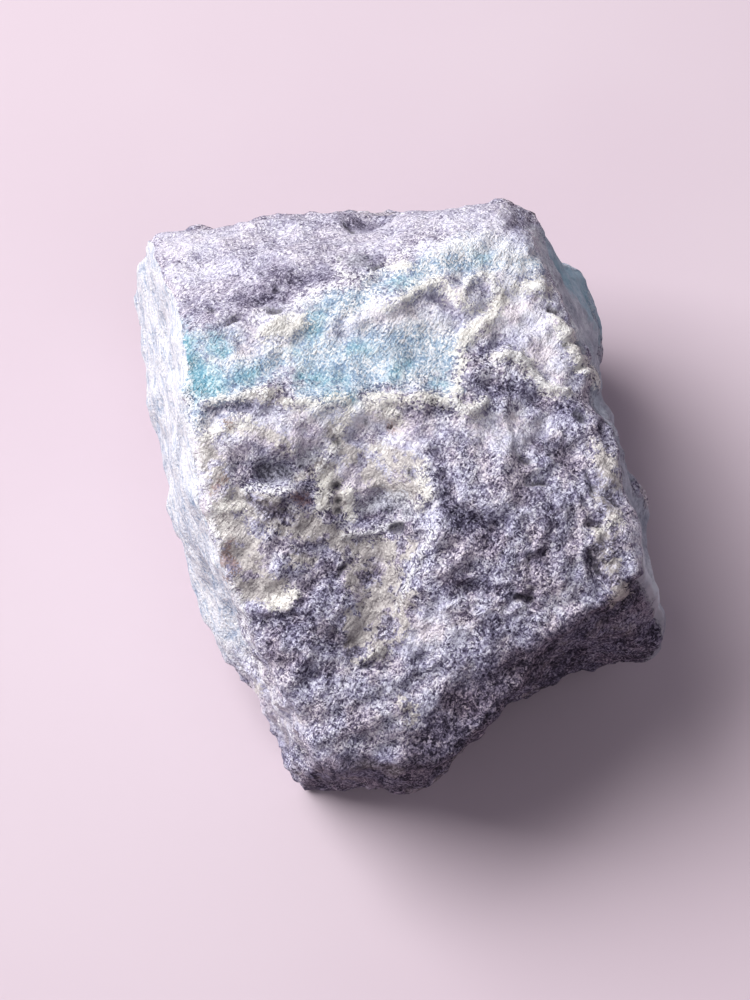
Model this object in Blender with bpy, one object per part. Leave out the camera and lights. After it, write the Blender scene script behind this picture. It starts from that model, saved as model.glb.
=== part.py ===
"""Raw larimar: a broken chunk of grey basalt with a pale blue pectolite vein, lying on its broken back.

The stone is one solid. It starts as a box cut into fine squares. Each point of the box is moved along a ray
from the stone's heart until it meets the stone's surface. That surface is a block, bounded by the planes
along which the rock broke, with blunted edges, and then raised and sunk by ridges, knobs, scoops and lumps.
The shape is worked out in millimetres and made in metres, +Z up. The stone lies on the ground plane and the
origin is on the ground under its middle. Its fresh face looks up, with the vein towards +Y.
"""

import bpy
import bmesh
import numpy as np

MM = 0.001

# Driving dimensions, in millimetres
WIDTH = 54.5
LENGTH = 60.5
HEIGHT = 37.0
SQUARE = 1.75
HEART_HEIGHT = 17.5
MIDDLE = (-0.9, 1.9)

# How tight the stone's edges and the sides of its relief are: a higher number is sharper
EDGE_SHARPNESS = 36.0
RELIEF_SHARPNESS = 2.6

# Colour of the weathered rock, linear red, green and blue
ROCK_COLOUR = (0.36, 0.33, 0.38, 1.0)
ROCK_ROUGHNESS = 0.85

# The planes along which the stone broke: the way each one faces, as a compass angle from +X towards +Y and
# a tilt above the horizon, in degrees, and how far it lies from the heart.
BREAKS = {
    "crown": (-88, 85, 17.5),
    "crown_low": (-92, 64, 15.8),
    "crown_right": (-10, 77, 17.6),
    "brow": (107, 54, 25.3),
    "back_wall": (96, 5, 32.0),
    "left_wall": (188, 10, 23.2),
    "left_low_wall": (209, 3, 21.0),
    "tip_wall": (-95, -6, 28.0),
    "under_wall": (-50, 12, 25.2),
    "right_wall": (11, 14, 23.5),
    "right_high_wall": (18, 26, 24.5),
    "right_corner": (65, 9, 32.8),
    "left_corner": (142, 35, 36.2),
    "heel_front": (-62, -32, 24.4),
    "heel_left": (197, -30, 23.0),
    "heel_right": (8, -21, 24.7),
    "heel_back": (90, -24, 30.0),
    "bed": (0, -90, 18.2),
}

# Ridges, knobs, scoops and grooves: each follows a line between two points, and raises the surface near that
# line by a height, or sinks it where the height is negative, fading out at about its reach.
RELIEF = {
    "fan_hollow": ((-4.2, -2.5, 34), (-2.5, -17.5, 30.5), 5.2, -2.2),
    "fan_hollow_side": ((-9, -8, 33), (-4, -8, 33), 4.6, -0.8),
    "plateau_edge": ((5.4, 0.5, 34.3), (1.4, -16.5, 31), 2.6, 0.8),
    "plateau": ((12, -6, 33), (9, -10, 32), 7.0, 0.7),
    "vein_rim": ((-20.5, 5.6, 33.5), (7.0, 4.6, 34.8), 1.7, 0.5),
    "vein_bed": ((-19, 9.5, 35), (3, 10, 35.6), 3.0, -0.5),
    "below_rim": ((-17, 1.8, 34.5), (7, 1.0, 34.4), 2.6, -0.4),
    "upper_ridge": ((-2, 16, 36.3), (7.7, 14.4, 35.5), 1.8, 0.5),
    "upper_hollow": ((-9, 13.5, 36.2), (-3.5, 12.8, 36.2), 2.2, -0.4),
    "oval_pit": ((-14.4, -1.9, 34.2), (-12.5, -2.2, 34.2), 2.0, -0.8),
    "chin": ((-9, -21, 29.5), (-3, -24, 29), 5.0, 0.8),
    "chin_groove": ((-12.5, -22.8, 28.8), (-7.5, -17.8, 30.5), 1.9, -0.6),
    "low_groove": ((-7, -27.2, 27.5), (0, -22.4, 29), 2.0, -0.6),
    "under_lip": ((5, -22.6, 28.6), (20, -14.9, 30.4), 2.2, 0.9),
    "under_scoop": ((8.5, -23.0, 14), (17.5, -18.8, 15), 7.0, -3.8),
    "under_shadow": ((6.5, -23.0, 24.5), (19, -17.0, 25.5), 2.6, -1.1),
    "tip_knob": ((-9.0, -30.6, 23), (-6.0, -31.2, 21), 3.2, 1.3),
    "foot_knob": ((3.0, -28.2, 14), (-0.5, -29.4, 15), 3.6, 1.3),
    "corner_knob": ((26.4, -14.8, 13), (26.0, -14.8, 15), 3.2, 1.9),
    "right_notch": ((22.2, 14.0, 16), (22.6, 8.5, 17), 4.6, -2.4),
    "right_bulge": ((25.4, 2.4, 17), (25.2, 1.8, 15), 3.2, 0.9),
    "right_dip": ((25.6, -1.2, 17), (25.4, -1.6, 21), 1.8, -0.8),
    "crag_high": ((14.8, 16.0, 34), (15.4, 14.6, 34), 2.3, 0.7),
    "crag_upper": ((17.2, 11.6, 33.4), (17.8, 9.4, 33), 2.2, 0.6),
    "crag_gap": ((18.8, 7.2, 32), (19.2, 6.6, 30), 1.6, -0.7),
    "crag_middle": ((19.8, 4.6, 31.6), (20.6, 2.0, 31), 2.4, 0.7),
    "crag_lower": ((22.4, -6.4, 30.6), (23.2, -10, 30), 2.4, 0.7),
    "top_notch": ((-3.4, 29.4, 27), (-3.2, 28.6, 29), 2.2, -0.9),
    "top_dip": ((0.5, 30.4, 25), (4.5, 30.4, 26), 4.6, -2.0),
    "brow_lump": ((-15, 20.5, 32), (-12, 21.5, 32), 4.4, 0.6),
    "back_ledge": ((-20, 30, 15), (6, 31.5, 19), 3.4, 1.1),
    "back_scar": ((8, 31, 12), (16, 27, 20), 4.0, -1.2),
    "left_groove": ((-26, 17, 24), (-25.5, 2, 12), 2.4, -0.8),
    "left_low_scar": ((-19.5, -10.5, 18), (-16, -16, 15), 3.6, -1.2),
    "left_ledge": ((-24, 16, 8), (-18, -12, 9), 3.0, 0.9),
    "right_scar": ((24, -4, 9), (25, 8, 12), 4.0, -1.1),
}

# Relief that has no name: layers of smooth lumps, and of shallow chips with sharp crests between them, each
# layer with its size and its height
LUMPS = ((11.0, 0.9), (4.2, 0.4))
CHIPS = ((7.4, 1.3), (4.6, 0.8))
CHIP_MEAN = 0.14
RELIEF_SEED = 5


def facing(compass, tilt):
    """The unit vector of a compass angle from +X and a tilt above the horizon, both in degrees."""
    compass, tilt = np.radians([compass, tilt])
    return np.array([np.cos(compass) * np.cos(tilt), np.sin(compass) * np.cos(tilt), np.sin(tilt)])


def block(rays):
    """Where rays from the heart meet the blunted block, and which way its surface faces there.

    A plane at distance d from the heart is met at d / (n . ray). The block takes the nearest plane, as a
    soft minimum: 1 / reach = (sum of ((n . ray) / d) ** sharpness) ** (1 / sharpness).
    """
    normals = np.array([facing(compass, tilt) for compass, tilt, _ in BREAKS.values()])
    distances = np.array([distance for _, _, distance in BREAKS.values()])
    nearness = np.clip(rays @ normals.T, 1e-9, None) / distances
    most = nearness.max(axis=1, keepdims=True)
    shares = (nearness / most) ** EDGE_SHARPNESS
    reach = 1 / (most[:, 0] * shares.sum(axis=1) ** (1 / EDGE_SHARPNESS))
    outward = (shares / nearness / distances) @ normals
    outward /= np.linalg.norm(outward, axis=1, keepdims=True)
    return rays * reach[:, None] + (0, 0, HEART_HEIGHT), outward


def near_line(points, start, end, reach):
    """1 on the line between two points, falling to 0 at about the reach."""
    start, end = np.array(start, float), np.array(end, float)
    along = np.clip((points - start) @ (end - start) / np.sum((end - start) ** 2), 0, 1)
    gap = np.linalg.norm(points - start - along[:, None] * (end - start), axis=1)
    return np.exp(-((gap / reach) ** RELIEF_SHARPNESS))


def lumps(points, size, seed):
    """Smooth random relief of about -0.6 to 0.6: random slopes at the corners of cubes, eased in between."""
    corner = np.floor(points / size)
    part = points / size - corner
    ease = part**3 * (part * (part * 6 - 15) + 10)
    total = np.zeros(len(points))
    for step in np.ndindex(2, 2, 2):
        key = (corner + step).astype(np.int64) @ (73856093, 19349663, 83492791) + seed * 40503
        key = (key ^ (key >> 13)) * 2246822519 & 0xFFFFFFFF
        key = (key ^ (key >> 15)) * 3266489917 & 0xFFFFFFFF
        slopes = np.stack([(key >> shift) & 1023 for shift in (2, 12, 22)], axis=1) / 511.5 - 1
        weight = np.prod(np.where(step, ease, 1 - ease), axis=1)
        total += weight * np.sum(slopes * (part - step), axis=1)
    return total


def surface(rays):
    """The stone's surface along rays from the heart: the block, raised and sunk across its own slope."""
    points, outward = block(rays)
    height = sum(rise * near_line(points, start, end, reach) for start, end, reach, rise in RELIEF.values())
    for layer, (size, rise) in enumerate(LUMPS):
        height += rise * lumps(points, size, RELIEF_SEED + layer)
    for layer, (size, rise) in enumerate(CHIPS):
        height += rise * (CHIP_MEAN - np.abs(lumps(points, size, RELIEF_SEED + len(LUMPS) + layer)))
    points = points + outward * height[:, None]
    points[:, 2] = np.clip(points[:, 2], 0, None)
    return points - (*MIDDLE, 0)


def box_of_squares():
    """A cube primitive of 1 mm, cut into squares that will be even once it has the stone's size."""
    mesh = bmesh.new()
    bmesh.ops.create_cube(mesh, size=1.0)
    for axis, length in enumerate((WIDTH, LENGTH, HEIGHT)):
        along = [
            edge
            for edge in mesh.edges
            if abs(edge.verts[0].co[axis] - edge.verts[1].co[axis]) > 0.5
        ]
        bmesh.ops.subdivide_edges(mesh, edges=along, cuts=round(length / SQUARE) - 1, use_grid_fill=True)
    return mesh


def rock_material():
    material = bpy.data.materials.new("weathered_rock")
    material.use_nodes = True
    shader = material.node_tree.nodes["Principled BSDF"]
    shader.inputs["Base Color"].default_value = ROCK_COLOUR
    shader.inputs["Roughness"].default_value = ROCK_ROUGHNESS
    shader.inputs["Metallic"].default_value = 0.0
    return material


def larimar_chunk():
    mesh = box_of_squares()
    box = np.array([vertex.co[:] for vertex in mesh.verts]) * (WIDTH, LENGTH, HEIGHT)
    rays = box / np.linalg.norm(box, axis=1, keepdims=True)
    for vertex, place in zip(mesh.verts, surface(rays) * MM):
        vertex.co = place
    data = bpy.data.meshes.new("larimar_chunk")
    mesh.to_mesh(data)
    mesh.free()
    data.materials.append(rock_material())
    return bpy.data.objects.new("larimar_chunk", data)


def main():
    for left_over in list(bpy.data.objects):
        bpy.data.objects.remove(left_over)
    collection = bpy.data.collections.new("raw_larimar")
    bpy.context.scene.collection.children.link(collection)
    collection.objects.link(larimar_chunk())


main()
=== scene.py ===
# %% [markdown]
# # A raw larimar stone
# Larimar is a pale blue pectolite that grew in the cracks of grey basalt. This lesson dresses one rough
# chunk of it: a broken block of speckled violet-grey rock with a blue vein across its fresh face, cream and
# white veins around it, a greenish hollow below and a white fibrous skin on its left side.
# The chunk is already there as a plain solid, so the first cell loads it and bakes its placing into its
# points.

import bmesh
import bpy
import mathutils
import numpy as np
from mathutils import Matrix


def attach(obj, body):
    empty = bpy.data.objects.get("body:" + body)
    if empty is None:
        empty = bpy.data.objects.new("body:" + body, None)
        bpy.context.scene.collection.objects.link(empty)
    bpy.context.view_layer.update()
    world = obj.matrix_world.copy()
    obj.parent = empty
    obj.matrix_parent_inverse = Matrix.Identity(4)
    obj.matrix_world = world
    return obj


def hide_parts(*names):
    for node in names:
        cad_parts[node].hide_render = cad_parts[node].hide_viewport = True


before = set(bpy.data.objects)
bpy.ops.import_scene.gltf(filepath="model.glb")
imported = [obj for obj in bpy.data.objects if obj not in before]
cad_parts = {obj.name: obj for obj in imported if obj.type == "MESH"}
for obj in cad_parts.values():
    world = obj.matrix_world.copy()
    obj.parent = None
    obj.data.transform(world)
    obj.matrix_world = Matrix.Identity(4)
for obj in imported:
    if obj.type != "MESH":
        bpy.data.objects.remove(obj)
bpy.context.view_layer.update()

MM = 0.001

# %% [markdown]
# The real stone has no outline that a tool made: it broke along flat planes, and what stands between them
# is the block. So the shape starts from those planes, the same ones as the solid's, each given by the way
# it faces and its distance from a point inside the stone, its heart. All lengths here are in millimetres,
# in the stone's own coordinates, and `MIDDLE` is where the middle of its outer box lies in them.

# %% The planes along which the stone broke
WIDTH, LENGTH, HEIGHT = 54.5, 60.5, 37.0
HEART_HEIGHT = 17.5
MIDDLE = (-0.9, 1.9)
EDGE_SHARPNESS = 36.0
RELIEF_SHARPNESS = 2.6

BREAKS = {
    "crown": (-88, 85, 17.5),
    "crown_low": (-92, 64, 15.8),
    "crown_right": (-10, 77, 17.6),
    "brow": (107, 54, 25.3),
    "back_wall": (96, 5, 32.0),
    "left_wall": (188, 10, 23.2),
    "left_low_wall": (209, 3, 21.0),
    "tip_wall": (-95, -6, 28.0),
    "under_wall": (-50, 12, 25.2),
    "right_wall": (11, 14, 23.5),
    "right_high_wall": (18, 26, 24.5),
    "right_corner": (65, 9, 32.8),
    "left_corner": (142, 35, 36.2),
    "heel_front": (-62, -32, 24.4),
    "heel_left": (197, -30, 23.0),
    "heel_right": (8, -21, 24.7),
    "heel_back": (90, -24, 30.0),
    "bed": (0, -90, 18.2),
}


def facing(compass, tilt):
    """The unit vector of a compass angle from +X and a tilt above the horizon, both in degrees."""
    compass, tilt = np.radians([compass, tilt])
    return np.array([np.cos(compass) * np.cos(tilt), np.sin(compass) * np.cos(tilt), np.sin(tilt)])


def block(rays):
    """Where rays from the heart meet the blunted block, and which way its surface faces there.

    A plane at distance d from the heart is met at d / (n . ray). The block takes the nearest plane, as a
    soft minimum: 1 / reach = (sum of ((n . ray) / d) ** sharpness) ** (1 / sharpness).
    """
    normals = np.array([facing(compass, tilt) for compass, tilt, _ in BREAKS.values()])
    distances = np.array([distance for _, _, distance in BREAKS.values()])
    nearness = np.clip(rays @ normals.T, 1e-9, None) / distances
    most = nearness.max(axis=1, keepdims=True)
    shares = (nearness / most) ** EDGE_SHARPNESS
    reach = 1 / (most[:, 0] * shares.sum(axis=1) ** (1 / EDGE_SHARPNESS))
    outward = (shares / nearness / distances) @ normals
    outward /= np.linalg.norm(outward, axis=1, keepdims=True)
    return rays * reach[:, None] + (0, 0, HEART_HEIGHT), outward


print(len(BREAKS), "planes bound the stone")

# %% [markdown]
# A closed surface on a grid needs no poles if the grid is the skin of a box. Its six sides are grids of two
# parameters each. They share their rims once points with the same whole-number address are made one, which
# leaves no seam. Each point then gives a ray from the heart.

# %% A box of squares, welded by address
SQUARES = (144, 160, 84)


def skin_of_box(counts):
    """The addresses (i, j, k) on the skin of a box of squares, and its squares as four point numbers each.

    Side by side: fix one axis at 0 or at its count, and run the other two over the grid. The corners of a
    square are taken in the order that makes it face outwards.
    """
    corners = []
    for axis in range(3):
        first, second = [other for other in range(3) if other != axis]
        u, v = np.meshgrid(np.arange(counts[first]), np.arange(counts[second]), indexing="ij")
        for end in (0, 1):
            square = np.zeros((u.size, 4, 3), dtype=np.int64)
            square[:, :, axis] = end * counts[axis]
            square[:, :, first] = u.ravel()[:, None] + (0, 1, 1, 0)
            square[:, :, second] = v.ravel()[:, None] + (0, 0, 1, 1)
            turned = (end == 0) != (axis == 1)
            corners.append(square[:, ::-1] if turned else square)
    corners = np.concatenate(corners)
    addresses, numbers = np.unique(corners.reshape(-1, 3), axis=0, return_inverse=True)
    return addresses, numbers.reshape(-1, 4)


addresses, squares = skin_of_box(SQUARES)
box = (addresses / SQUARES - 0.5) * (WIDTH, LENGTH, HEIGHT)
rays = box / np.linalg.norm(box, axis=1, keepdims=True)
base, outward = block(rays)
print(len(addresses), "points and", len(squares), "squares")

# %% [markdown]
# On the planes sit the forms that someone turning the stone would feel: the fan-shaped hollow, the raised
# plateau beside it, the rim below the vein, the crags along the right edge and the scooped underside.
# Each follows a line between two points and fades out at its reach. They are the same as the solid's.

# %% The named ridges, knobs, scoops and grooves
RELIEF = {
    "fan_hollow": ((-4.2, -2.5, 34), (-2.5, -17.5, 30.5), 5.2, -2.2),
    "fan_hollow_side": ((-9, -8, 33), (-4, -8, 33), 4.6, -0.8),
    "plateau_edge": ((5.4, 0.5, 34.3), (1.4, -16.5, 31), 2.6, 0.8),
    "plateau": ((12, -6, 33), (9, -10, 32), 7.0, 0.7),
    "vein_rim": ((-20.5, 5.6, 33.5), (7.0, 4.6, 34.8), 1.7, 0.5),
    "vein_bed": ((-19, 9.5, 35), (3, 10, 35.6), 3.0, -0.5),
    "below_rim": ((-17, 1.8, 34.5), (7, 1.0, 34.4), 2.6, -0.4),
    "upper_ridge": ((-2, 16, 36.3), (7.7, 14.4, 35.5), 1.8, 0.5),
    "upper_hollow": ((-9, 13.5, 36.2), (-3.5, 12.8, 36.2), 2.2, -0.4),
    "oval_pit": ((-14.4, -1.9, 34.2), (-12.5, -2.2, 34.2), 2.0, -0.8),
    "chin": ((-9, -21, 29.5), (-3, -24, 29), 5.0, 0.8),
    "chin_groove": ((-12.5, -22.8, 28.8), (-7.5, -17.8, 30.5), 1.9, -0.6),
    "low_groove": ((-7, -27.2, 27.5), (0, -22.4, 29), 2.0, -0.6),
    "under_lip": ((5, -22.6, 28.6), (20, -14.9, 30.4), 2.2, 0.9),
    "under_scoop": ((8.5, -23.0, 14), (17.5, -18.8, 15), 7.0, -3.8),
    "under_shadow": ((6.5, -23.0, 24.5), (19, -17.0, 25.5), 2.6, -1.1),
    "tip_knob": ((-9.0, -30.6, 23), (-6.0, -31.2, 21), 3.2, 1.3),
    "foot_knob": ((3.0, -28.2, 14), (-0.5, -29.4, 15), 3.6, 1.3),
    "corner_knob": ((26.4, -14.8, 13), (26.0, -14.8, 15), 3.2, 1.9),
    "right_notch": ((22.2, 14.0, 16), (22.6, 8.5, 17), 4.6, -2.4),
    "right_bulge": ((25.4, 2.4, 17), (25.2, 1.8, 15), 3.2, 0.9),
    "right_dip": ((25.6, -1.2, 17), (25.4, -1.6, 21), 1.8, -0.8),
    "crag_high": ((14.8, 16.0, 34), (15.4, 14.6, 34), 2.3, 0.7),
    "crag_upper": ((17.2, 11.6, 33.4), (17.8, 9.4, 33), 2.2, 0.6),
    "crag_gap": ((18.8, 7.2, 32), (19.2, 6.6, 30), 1.6, -0.7),
    "crag_middle": ((19.8, 4.6, 31.6), (20.6, 2.0, 31), 2.4, 0.7),
    "crag_lower": ((22.4, -6.4, 30.6), (23.2, -10, 30), 2.4, 0.7),
    "top_notch": ((-3.4, 29.4, 27), (-3.2, 28.6, 29), 2.2, -0.9),
    "top_dip": ((0.5, 30.4, 25), (4.5, 30.4, 26), 4.6, -2.0),
    "brow_lump": ((-15, 20.5, 32), (-12, 21.5, 32), 4.4, 0.6),
    "back_ledge": ((-20, 30, 15), (6, 31.5, 19), 3.4, 1.1),
    "back_scar": ((8, 31, 12), (16, 27, 20), 4.0, -1.2),
    "left_groove": ((-26, 17, 24), (-25.5, 2, 12), 2.4, -0.8),
    "left_low_scar": ((-19.5, -10.5, 18), (-16, -16, 15), 3.6, -1.2),
    "left_ledge": ((-24, 16, 8), (-18, -12, 9), 3.0, 0.9),
    "right_scar": ((24, -4, 9), (25, 8, 12), 4.0, -1.1),
}


def nearest_on_line(points, start, end):
    """For each point, how far along the line from start to end its nearest spot is, 0 to 1, and the gap."""
    start, end = np.array(start, float), np.array(end, float)
    way = end - start
    along = np.clip((points - start) @ way / max(way @ way, 1e-9), 0, 1)
    return along, np.linalg.norm(points - start - along[:, None] * way, axis=1)


height = np.zeros(len(base))
for start, end, reach, rise in RELIEF.values():
    along, gap = nearest_on_line(base, start, end)
    height += rise * np.exp(-((gap / reach) ** RELIEF_SHARPNESS))
print("named relief from", round(height.min(), 1), "to", round(height.max(), 1), "mm")

# %% [markdown]
# Broken rock is also rough everywhere. Smooth random relief comes from random slopes at the corners of a
# lattice of cubes, eased in between. Taken as it is, it makes lumps. Its negative size makes chips, which
# are shallow scoops with sharp crests between them, as a hammer leaves. Coarse layers match the solid's
# and finer ones are added here, down to what the mesh can carry.

# %% Lumps and chips
LUMPS = ((11.0, 0.9), (4.2, 0.4))
CHIPS = ((7.4, 1.3), (4.6, 0.8))
CHIP_MEAN = 0.14
RELIEF_SEED = 5


def lumps(points, size, seed):
    """Smooth random relief of about -0.6 to 0.6: random slopes at the corners of cubes, eased in between."""
    corner = np.floor(points / size)
    part = points / size - corner
    ease = part**3 * (part * (part * 6 - 15) + 10)
    total = np.zeros(len(points))
    for step in np.ndindex(2, 2, 2):
        key = (corner + step).astype(np.int64) @ (73856093, 19349663, 83492791) + seed * 40503
        key = (key ^ (key >> 13)) * 2246822519 & 0xFFFFFFFF
        key = (key ^ (key >> 15)) * 3266489917 & 0xFFFFFFFF
        slopes = np.stack([(key >> shift) & 1023 for shift in (2, 12, 22)], axis=1) / 511.5 - 1
        weight = np.prod(np.where(step, ease, 1 - ease), axis=1)
        total += weight * np.sum(slopes * (part - step), axis=1)
    return total


def chips(points, size, seed):
    """Shallow scoops with sharp crests between them: a mean less the size of the smooth relief."""
    return CHIP_MEAN - np.abs(lumps(points, size, seed))


for layer, (size, rise) in enumerate(LUMPS):
    height += rise * lumps(base, size, RELIEF_SEED + layer)
for layer, (size, rise) in enumerate(CHIPS):
    height += rise * chips(base, size, RELIEF_SEED + len(LUMPS) + layer)
body = base + outward * height[:, None]
print("relief with lumps and chips from", round(height.min(), 1), "to", round(height.max(), 1), "mm")

# %% [markdown]
# The minerals lie in named places, so they are drawn as on a map, and the map is the picture that the camera
# takes. The camera looks down on the stone at 70 degrees, from 300 mm away. Its picture is 750 pixels wide
# and 1000 high, and 9.75 of them show one millimetre at the stone. This cell works out where each point of
# the stone lands in that picture, and how squarely it faces the camera: 1 is straight on and 0 is edge-on.
# Points below `MAP_EDGE` are off the map, and the marks reach their full depth `MAP_FADE` above it.

# %% Where the points land in the picture
PICTURE = (750, 1000)
PIXELS_PER_MM = 9.75
VIEW_TILT = 70.0
VIEW_DISTANCE = 300.0
LOOK_AT = np.array([-2.7, 0.0, 20.0])
MAP_EDGE, MAP_FADE = 0.02, 0.12

to_camera = facing(-90, VIEW_TILT)
eye = LOOK_AT + to_camera * VIEW_DISTANCE


def picture_place(points):
    """The pixel, counted right and down, of each point: its sideways and upward parts over its depth."""
    across, up = np.array([1.0, 0.0, 0.0]), np.cross(to_camera, [1.0, 0.0, 0.0])
    sight = points - eye
    zoom = PIXELS_PER_MM * VIEW_DISTANCE / (sight @ -to_camera)
    return np.stack([PICTURE[0] / 2 + zoom * (sight @ across), PICTURE[1] / 2 - zoom * (sight @ up)], axis=1)


sight = eye - body
faces_camera = np.sum(outward * sight, axis=1) / np.linalg.norm(sight, axis=1)
print(round(100 * np.mean(faces_camera > MAP_EDGE)), "% of the points are on the map")

# %% [markdown]
# A mark on the map is a path of points, each with a pixel place and a reach, like a brush that presses harder
# or softer on its way. From all marks of a mineral comes one field: how deep a point lies inside the nearest
# mark, in millimetres, and negative outside. First the vein: blue, its deeper teal and its white crystals.

# %% Marks of the vein
BLUE_MARKS = {
    "left_pool": [(175, 328, 7), (185, 350, 12), (197, 378, 20), (216, 386, 17)],
    "left_pool_top": [(198, 340, 6), (213, 341, 9), (224, 350, 6)],
    "left_arm": [(228, 380, 14), (246, 376, 11), (264, 368, 10), (278, 360, 8)],
    "left_tail": [(191, 402, 5), (196, 416, 3)],
    "middle": [(300, 352, 12), (320, 364, 21), (345, 368, 25), (380, 360, 27), (415, 354, 27)],
    "middle_end": [(415, 354, 27), (440, 356, 20)],
    "middle_arm": [(314, 334, 12), (318, 316, 11), (334, 302, 11), (358, 300, 9)],
    "middle_low": [(306, 388, 9), (328, 394, 8), (350, 394, 6)],
    "right_foot": [(434, 380, 12), (450, 384, 8)],
    "streak": [(370, 286, 5), (390, 280, 7), (408, 279, 8), (424, 270, 8)],
    "upper": [(432, 266, 7), (455, 260, 10), (480, 257, 10), (500, 262, 6)],
    "upper_end": [(504, 262, 3), (532, 262, 3)],
}
TEAL_MARKS = {
    "left_deep": [(188, 358, 11), (196, 382, 17), (210, 384, 15)],
    "left_top": [(177, 330, 8), (187, 350, 9)],
    "pool_top": [(212, 340, 6), (222, 350, 6)],
    "arm_deep": [(240, 378, 5), (256, 374, 4)],
    "middle_deep": [(300, 376, 4), (320, 378, 6), (340, 378, 4)],
    "middle_spots": [(298, 352, 3)],
    "high_spots": [(350, 350, 3), (368, 351, 3)],
    "right_deep": [(394, 376, 3), (407, 362, 4)],
    "streak_deep": [(396, 284, 3), (408, 282, 4)],
    "arm_top": [(313, 330, 6), (318, 315, 5)],
    "low_edge": [(328, 398, 4), (348, 399, 4)],
    "right_foot": [(442, 382, 6)],
    "upper_spot": [(478, 256, 2), (486, 257, 2)],
}
WHITE_MARKS = {
    "fluff": [(352, 322, 9), (372, 312, 14), (396, 306, 11)],
    "bar": [(212, 361, 4), (230, 360, 6), (245, 354, 5)],
    "middle": [(274, 346, 6), (288, 350, 7), (284, 340, 6)],
    "ring": [(326, 326, 3), (331, 321, 3), (337, 327, 3), (333, 335, 3), (326, 334, 3)],
    "right_grains": [(404, 376, 5), (418, 378, 7)],
    "fringe": [(262, 316, 3), (286, 312, 3), (308, 297, 4), (324, 287, 4), (346, 283, 4), (372, 284, 3)],
    "fringe_high": [(386, 268, 4), (402, 256, 5), (424, 246, 5), (446, 240, 4)],
    "grains_high": [(436, 272, 5), (430, 262, 4)],
    "cream_right": [(484, 322, 11), (506, 318, 14), (534, 322, 13)],
    "grains_right": [(504, 276, 6), (512, 292, 8), (524, 312, 12), (548, 340, 10), (556, 362, 8)],
    "under_loop": [(470, 300, 7), (484, 312, 6), (474, 340, 6)],
    "upper": [(440, 252, 9), (470, 248, 12), (500, 252, 14), (524, 262, 13)],
    "under_ridge": [(396, 318, 12), (420, 318, 13), (440, 326, 11)],
    "bright_right": [(498, 405, 4), (506, 411, 6), (520, 415, 5)],
    "crag_white": [(548, 304, 6), (556, 318, 6), (566, 330, 6)],
    "under_arc": [(486, 366, 4), (505, 366, 5), (520, 372, 5)],
    "arc_right": [(552, 372, 6), (562, 366, 6)],
    "under_vein": [(286, 414, 9), (310, 412, 12), (344, 420, 13), (372, 418, 12)],
    "under_vein_right": [(372, 418, 12), (394, 426, 10), (380, 444, 10)],
    "under_vein_left": [(206, 424, 7), (232, 432, 9), (262, 424, 8)],
    "left_field": [(198, 440, 9), (206, 480, 10), (218, 520, 8), (228, 548, 4)],
    "column": [(430, 470, 5), (427, 500, 6), (434, 528, 5)],
    "low_field": [(430, 640, 9), (470, 630, 9), (450, 650, 8)],
}
print(sum(map(len, (BLUE_MARKS, TEAL_MARKS, WHITE_MARKS))), "marks of the vein")

# %% [markdown]
# Around the vein run cream ribs, knobs and patches that stand up from the rock.

# %% Marks of the cream
CREAM_MARKS = {
    "left_patch": [(262, 334, 7), (282, 327, 11), (302, 322, 8)],
    "ridge": [(384, 308, 3), (400, 301, 5), (412, 293, 5), (428, 283, 6), (441, 282, 5)],
    "ridge_end": [(441, 282, 5), (449, 294, 4), (461, 299, 5), (472, 308, 4)],
    "lobe_side": [(390, 266, 4), (402, 264, 7), (410, 268, 4)],
    "loop": [(464, 291, 3), (469, 280, 3), (479, 276, 4), (491, 280, 4), (495, 291, 3)],
    "band": [(502, 294, 4), (495, 310, 6), (478, 325, 7), (463, 336, 6), (458, 350, 5), (463, 361, 4)],
    "band_low": [(461, 370, 3), (457, 386, 4), (453, 398, 4)],
    "ring": [(454, 402, 5), (463, 411, 6), (475, 411, 6), (484, 402, 4)],
    "arc": [(496, 357, 4), (516, 357, 6), (528, 364, 5), (535, 376, 5), (549, 388, 5), (567, 391, 4)],
    "right_patch": [(520, 287, 5), (535, 285, 8), (546, 291, 6)],
    "crag": [(552, 316, 5), (562, 326, 6), (568, 338, 5), (574, 354, 5), (583, 366, 5), (594, 380, 6)],
    "rim_left": [(208, 403, 3), (234, 397, 3), (254, 391, 4), (268, 392, 5)],
    "rim_middle": [(286, 404, 3), (316, 402, 3), (344, 398, 3)],
    "rim_right": [(366, 392, 3), (378, 396, 5), (398, 400, 5), (420, 398, 5), (444, 400, 5)],
    "under_rim": [(372, 402, 3), (386, 412, 7), (394, 418, 4)],
    "spill": [(346, 412, 4), (337, 432, 3), (329, 452, 3)],
    "tongue": [(322, 470, 4), (328, 488, 7), (324, 506, 5)],
    "tongue_right": [(346, 492, 5), (352, 504, 6), (349, 518, 5)],
    "column": [(424, 468, 3), (419, 482, 5), (426, 496, 4), (420, 508, 3)],
    "left_rib": [(205, 432, 4), (226, 426, 4), (246, 420, 4)],
    "left_low": [(214, 512, 4), (230, 506, 6), (244, 510, 4)],
    "low_patch": [(268, 606, 4), (281, 602, 6), (294, 594, 4)],
    "sliver": [(366, 659, 1), (386, 652, 1)],
    "right_foot": [(614, 518, 2), (600, 530, 3)],
    "right_end": [(614, 598, 4), (624, 592, 5)],
}
print(len(CREAM_MARKS), "marks of cream")

# %% [markdown]
# Finer white threads trace the rims of the forms, some small loops and the stone's left edge.

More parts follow.
